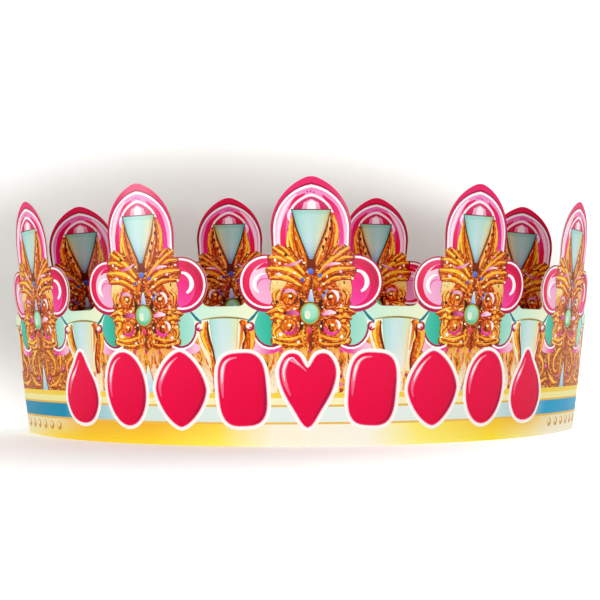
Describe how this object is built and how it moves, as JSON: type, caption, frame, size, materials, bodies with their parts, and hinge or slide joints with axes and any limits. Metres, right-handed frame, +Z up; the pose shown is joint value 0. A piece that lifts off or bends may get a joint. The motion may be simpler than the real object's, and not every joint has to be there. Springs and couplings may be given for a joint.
{
  "type": "cardboard crown",
  "caption": "Child's dress-up crown: a printed, die-cut card band with arched points, bent into a ring and lapped at the back.",
  "frame": {"origin": "middle of the crown's bounding box, on the surface that its rim rests on", "axes": "+Z up, out of the rim toward the tips; the curved front looks along -Y; +X is the wearer's left, along the flat back"},
  "size_m": [0.2494, 0.0925, 0.1022],
  "materials": {
    "printed_card": "gloss coated print on both faces"
  },
  "bodies": {
    "root": {"crown_band": "printed_card"}
  },
  "joints": []
}
